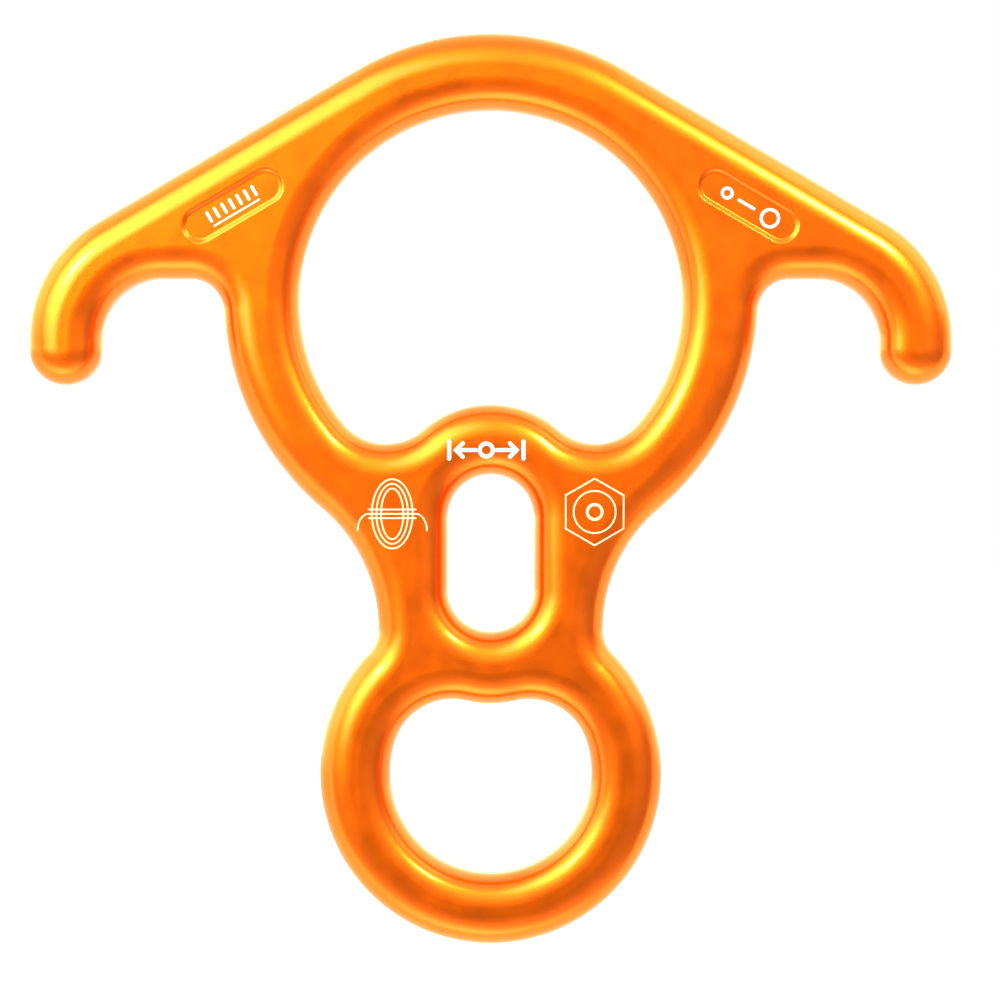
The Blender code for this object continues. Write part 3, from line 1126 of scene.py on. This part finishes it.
@dataclass(frozen=True)
class MarkSet:
    """Plain marks in the places where such a body carries its laser marking.

    Attributes:
        hump_centre: Middle of the load mark on the bridge over the slot.
        left_centre: Middle of the rope coil on the left of the web.
        right_centre: Middle of the hexagon on the right of the web.
        bold: Width of the strokes of the load mark.
        medium: Width of the strokes in the plaques.
        fine: Width of the strokes on the web.
        full_skin: Skin of the broad strokes.
        fine_skin: Skin of the fine strokes, through which more of the dye shows.
    """

    hump_centre: tuple[float, float] = (-0.0007, 0.0526)
    left_centre: tuple[float, float] = (-0.0159, 0.0423)
    right_centre: tuple[float, float] = (0.0168, 0.0426)
    bold: float = 0.0006
    medium: float = 0.00045
    fine: float = 0.00024
    full_skin: LaserSkin = LaserSkin("laser_white", (0.96, 0.93, 0.89, 1.0), (0.95, 0.84, 0.74, 1.0))
    fine_skin: LaserSkin = LaserSkin("laser_fine", (0.96, 0.62, 0.33, 1.0), (0.95, 0.48, 0.20, 1.0))

    def load_mark(self) -> LaserMark:
        """Return the load mark: a ring that is pulled both ways, by two arrows between two bars."""
        strokes = [Stroke.ring(point(0.0, 0.0), 0.00105, self.bold)]
        for sign in (-1.0, 1.0):
            shaft = [(sign * 0.0017, 0.0), (sign * 0.0048, 0.0)]
            head = [(sign * 0.0038, 0.0011), (sign * 0.0049, 0.0), (sign * 0.0038, -0.0011)]
            bar = [(sign * 0.0060, -0.0014), (sign * 0.0060, 0.0014)]
            strokes += [Stroke.line(corners, self.bold) for corners in (shaft, head, bar)]
        placed = [stroke.moved(point(*self.hump_centre), point(1.0, 0.0)) for stroke in strokes]
        return LaserMark("load_mark", self.full_skin, placed)

    def rope_coil(self) -> LaserMark:
        """Return the rope coil: three upright loops, bound across the middle, with two loose ends."""
        angle = np.linspace(0.0, math.tau, LOOP_POINTS, endpoint=False)
        strokes = []
        for shrink in (0.0, 0.00075, 0.0015):
            across = (0.0033 - shrink) * np.cos(angle)
            up = (0.0056 - shrink) * np.sin(angle)
            strokes.append(Stroke(np.stack([across, up], axis=-1), self.fine, True))
        for height in (-0.0007, 0.0, 0.0007):
            strokes.append(Stroke.line([(-0.0038, height), (0.0038, height)], self.fine))
        turn = np.linspace(0.0, math.pi / 2, 12)
        for sign in (-1.0, 1.0):
            across = sign * (0.0038 + 0.0018 * np.sin(turn))
            up = -0.0027 * (1.0 - np.cos(turn))
            strokes.append(Stroke(np.stack([across, up], axis=-1), self.fine))
        placed = [stroke.moved(point(*self.left_centre), point(1.0, 0.0)) for stroke in strokes]
        return LaserMark("rope_coil", self.fine_skin, placed)

    def hexagon_mark(self) -> LaserMark:
        """Return the hexagon with two rings inside it."""
        centre = point(*self.right_centre)
        strokes = [
            Stroke.hexagon(centre, 0.0054, self.fine),
            Stroke.ring(centre, 0.0034, self.fine),
            Stroke.ring(centre, 0.0012, self.medium),
        ]
        return LaserMark("hexagon_mark", self.fine_skin, strokes)

    def tick_row(self, body: ForgedBody, plaque: Plaque) -> LaserMark:
        """Return the left plaque's mark: a row of ticks over a thin line."""
        centre, along = plaque.frame(body)
        along = -along
        strokes = [
            Stroke.line([(place, -0.0004), (place, 0.0011)], self.medium)
            for place in np.linspace(-0.0042, 0.0042, 7)
        ]
        strokes.append(Stroke.line([(-0.0042, -0.0013), (0.0042, -0.0013)], self.fine))
        placed = [stroke.moved(centre, along) for stroke in strokes]
        return LaserMark("tick_row", self.full_skin, placed, plaque.depth)

    def rope_range(self, body: ForgedBody, plaque: Plaque) -> LaserMark:
        """Return the right plaque's mark: a thin rope's ring, a dash and a thick rope's ring."""
        centre, along = plaque.frame(body)
        strokes = [
            Stroke.ring(point(-0.0040, 0.0), 0.0008, self.medium),
            Stroke.line([(-0.0018, 0.0), (0.0010, 0.0)], self.medium),
            Stroke.ring(point(0.0040, 0.0), 0.0014, self.medium),
        ]
        placed = [stroke.moved(centre, along) for stroke in strokes]
        return LaserMark("rope_range", self.full_skin, placed, plaque.depth)

    def build(self, body: ForgedBody, plaques: dict[Side, Plaque]) -> list[bpy.types.Object]:
        """Return all marks as pieces."""
        marks = [
            self.load_mark(),
            self.rope_coil(),
            self.hexagon_mark(),
            self.tick_row(body, plaques[Side.LEFT]),
            self.rope_range(body, plaques[Side.RIGHT]),
        ]
        return [mark.build(body) for mark in marks]


def direction_to(clock: float, off_axis: float) -> Vector:
    """Return the unit vector towards a place in the surroundings.

    Args:
        clock: Direction round the camera's axis in degrees, 0 to the right and 90 up.
        off_axis: Angle in degrees from the camera's side of the object, 0 in front and 180 behind.

    Returns:
        The vector (cos clock sin off_axis, -cos off_axis, sin clock sin off_axis).
    """
    around = math.radians(clock)
    away = math.radians(off_axis)
    return Vector((math.cos(around) * math.sin(away), -math.cos(away), math.sin(around) * math.sin(away)))


@dataclass(frozen=True)
class Softbox:
    """A soft rectangular lamp that faces the middle of the descender.

    Attributes:
        name: Name of the lamp.
        clock: Direction round the camera's axis in degrees, 0 to the right and 90 up.
        off_axis: Angle in degrees from the camera's side of the object, 0 in front and 180 behind.
        distance: Distance from the object.
        width: Size along the circle round the axis.
        height: Size away from the axis.
        radiance: Brightness of its face, where 1 is that of a white wall.
    """

    name: str
    clock: float
    off_axis: float
    distance: float
    width: float
    height: float
    radiance: float

    def place(self, target: Vector) -> None:
        """Add the lamp to the scene, facing the target."""
        clock = math.radians(self.clock)
        direction = direction_to(self.clock, self.off_axis)
        lamp = bpy.data.lights.new(self.name, "AREA")
        lamp.shape = "RECTANGLE"
        lamp.size = self.width
        lamp.size_y = self.height
        lamp.energy = self.radiance * math.pi * self.width * self.height
        holder = bpy.data.objects.new(self.name, lamp)
        across = Vector((-math.sin(clock), 0.0, math.cos(clock)))
        up = direction.cross(across)
        turn = Matrix((across, up, direction)).transposed().to_4x4()
        holder.matrix_world = Matrix.Translation(target + direction * self.distance) @ turn
        holder.visible_camera = False
        bpy.context.scene.collection.objects.link(holder)


@dataclass(frozen=True)
class Glow:
    """A broad soft patch of light in the far surroundings, such as a lit wall or a bounce card.

    Attributes:
        clock: Direction round the camera's axis in degrees, 0 to the right and 90 up.
        off_axis: Angle in degrees from the camera's side of the object, 0 in front and 180 behind.
        core: Angle in degrees from its middle up to which it keeps its level.
        reach: Angle in degrees from its middle at which it ends.
        level: Brightness that it adds, below 0 for a dark patch.
    """

    clock: float
    off_axis: float
    core: float
    reach: float
    level: float

    def strength(self, bench: ShaderBench, way: Value) -> Value:
        """Return the brightness in a direction: level times a smooth step of the cosine to the middle."""
        middle = direction_to(self.clock, self.off_axis)
        settings = {"operation": "DOT_PRODUCT"}
        cosine = bench.node("ShaderNodeVectorMath", settings, {0: way, 1: middle}, output="Value")
        outer = math.cos(math.radians(self.reach))
        inner = math.cos(math.radians(self.core))
        return cosine.ramp(outer, inner) * self.level


@dataclass(frozen=True)
class Studio:
    """Plain pale room round the descender: table, white surroundings and soft lamps.

    Attributes:
        floor_height: Height of the table.
        floor_front: How far the table reaches in front of the object.
        floor_back: How far it reaches behind the object.
        floor_half_width: How far it reaches to each side.
        floor_colour: Colour of the table.
        floor_fill: Brightness that camera and mirror rays see on top of the table's own light.
        room_level: Brightness of the room where no glow lies.
    """

    floor_height: float = -0.12
    floor_front: float = 0.03
    floor_back: float = 4.0
    floor_half_width: float = 3.0
    floor_colour: tuple[float, float, float, float] = (0.6, 0.6, 0.6, 1.0)
    floor_fill: float = 0.45
    room_level: float = 0.48

    def lay_floor(self) -> None:
        """Add the table, white to the camera wherever no shadow falls on it."""
        side = self.floor_half_width
        front = -self.floor_front
        back = self.floor_back
        height = self.floor_height
        corners = [(-side, front), (side, front), (side, back), (-side, back)]
        mesh = bpy.data.meshes.new("floor")
        mesh.from_pydata([(*corner, height) for corner in corners], [], [(0, 1, 2, 3)])
        material = bpy.data.materials.new("pale_floor")
        material.use_nodes = True
        bench = ShaderBench(material.node_tree)
        rays = bench.node("ShaderNodeLightPath", output="Is Camera Ray")
        mirror = Value(bench, rays.socket.node.outputs["Is Glossy Ray"])
        glass = Value(bench, rays.socket.node.outputs["Is Transmission Ray"])
        seen = rays + mirror + glass
        fill = bench.node("ShaderNodeEmission", {}, {"Strength": seen * self.floor_fill})
        matt = bench.node("ShaderNodeBsdfDiffuse", {}, {"Color": self.floor_colour})
        both = bench.node("ShaderNodeAddShader", {}, {0: matt, 1: fill})
        bench.node("ShaderNodeOutputMaterial", {}, {"Surface": both})
        mesh.materials.append(material)
        floor = bpy.data.objects.new("floor", mesh)
        bpy.context.scene.collection.objects.link(floor)

    def light_room(self) -> None:
        """Make the world: white to the camera, and a room of soft glows for every other ray."""
        world = bpy.data.worlds.new("room")
        world.use_nodes = True
        bpy.context.scene.world = world
        bench = ShaderBench(world.node_tree)
        way = bench.node("ShaderNodeTexCoord", output="Generated")
        # Each row holds the direction round the axis, the angle off it, the core, the reach and the level.
        # The last one takes light away: it is the dark side of the room, behind the camera.
        glows = [
            Glow(90.0, 175.0, 40.0, 80.0, 0.78),
            Glow(180.0, 112.0, 31.0, 69.0, 1.90),
            Glow(5.0, 149.0, 30.0, 66.0, 1.20),
            Glow(90.0, 138.0, 24.0, 60.0, 0.25),
            Glow(270.0, 94.0, 22.0, 56.0, 1.40),
            Glow(149.0, 94.0, 11.0, 31.0, 1.75),
            Glow(244.0, 68.0, 20.0, 38.0, 1.65),
            Glow(90.0, 67.0, 25.0, 72.0, 1.08),
            Glow(282.0, 66.0, 15.0, 44.0, 0.95),
            Glow(270.0, 5.0, 4.0, 20.0, -0.28),
        ]
        level = sum((glow.strength(bench, way) for glow in glows), self.room_level)
        seen = bench.node("ShaderNodeLightPath", output="Is Camera Ray")
        strength = seen + (1.0 - seen) * level
        room = bench.node("ShaderNodeBackground", {}, {"Color": (1.0, 1.0, 1.0, 1.0), "Strength": strength})
        bench.node("ShaderNodeOutputWorld", {}, {"Surface": room})

    def hang_lamps(self, target: Vector) -> None:
        """Add the lamps round a target."""
        lamps = [
            Softbox("left_softbox", 145.0, 33.0, 0.8, 0.07, 0.065, 165.0),
            Softbox("right_softbox", 49.0, 35.5, 0.8, 0.07, 0.065, 185.0),
            Softbox("left_panel", 142.0, 41.5, 0.45, 0.36, 0.36, 4.9),
            Softbox("right_panel", 38.5, 90.0, 0.34, 0.30, 0.30, 2.2),
        ]
        for lamp in lamps:
            lamp.place(target)


@dataclass(frozen=True)
class PhotoCamera:
    """Camera at the photograph's viewing angle.

    Attributes:
        aim_x: Place of the picture's centre along X.
        aim_z: Height of the picture's centre.
        frame_width: Width that the picture spans at the plate's middle.
        distance: Distance from the plate.
        raise_angle: Angle in degrees by which the camera looks down.
        sensor: Width of the sensor in millimetres.
    """

    aim_x: float = 0.00151
    aim_z: float = 0.04442
    frame_width: float = 0.1630
    distance: float = 0.70
    raise_angle: float = 1.0
    sensor: float = 36.0

    def aim(self) -> Vector:
        """Return the point that the camera looks at."""
        return Vector((self.aim_x, 0.0, self.aim_z))

    def place(self) -> None:
        """Add the camera and make it the scene's own."""
        data = bpy.data.cameras.new("photo_camera")
        data.sensor_width = self.sensor
        data.lens = self.sensor * self.distance / self.frame_width
        data.clip_start = 0.01
        data.clip_end = 50.0
        camera = bpy.data.objects.new("photo_camera", data)
        angle = math.radians(self.raise_angle)
        back = Vector((0.0, -math.cos(angle), math.sin(angle)))
        camera.location = self.aim() + back * self.distance
        camera.rotation_mode = "QUATERNION"
        camera.rotation_quaternion = (-back).to_track_quat("-Z", "Y")
        bpy.context.scene.collection.objects.link(camera)
        bpy.context.scene.camera = camera


def main() -> None:
    """Load the frame, build the body and its marks, and set up the room and the camera."""
    logging.basicConfig(level=logging.INFO, format="%(name)s: %(message)s")
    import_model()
    scene = bpy.context.scene
    scene.view_settings.view_transform = "Standard"
    body = ForgedBody()
    plaques = {side: Plaque(side) for side in Side}
    forging = body.build(list(plaques.values()))
    Anodising().dress(forging)
    marks = MarkSet().build(body, plaques)
    for piece in (forging, *marks):
        LOG.info("%s: %d faces", piece.name, len(piece.data.polygons))
    camera = PhotoCamera()
    camera.place()
    studio = Studio()
    studio.lay_floor()
    studio.light_room()
    studio.hang_lamps(camera.aim())


if __name__ == "__main__":
    main()
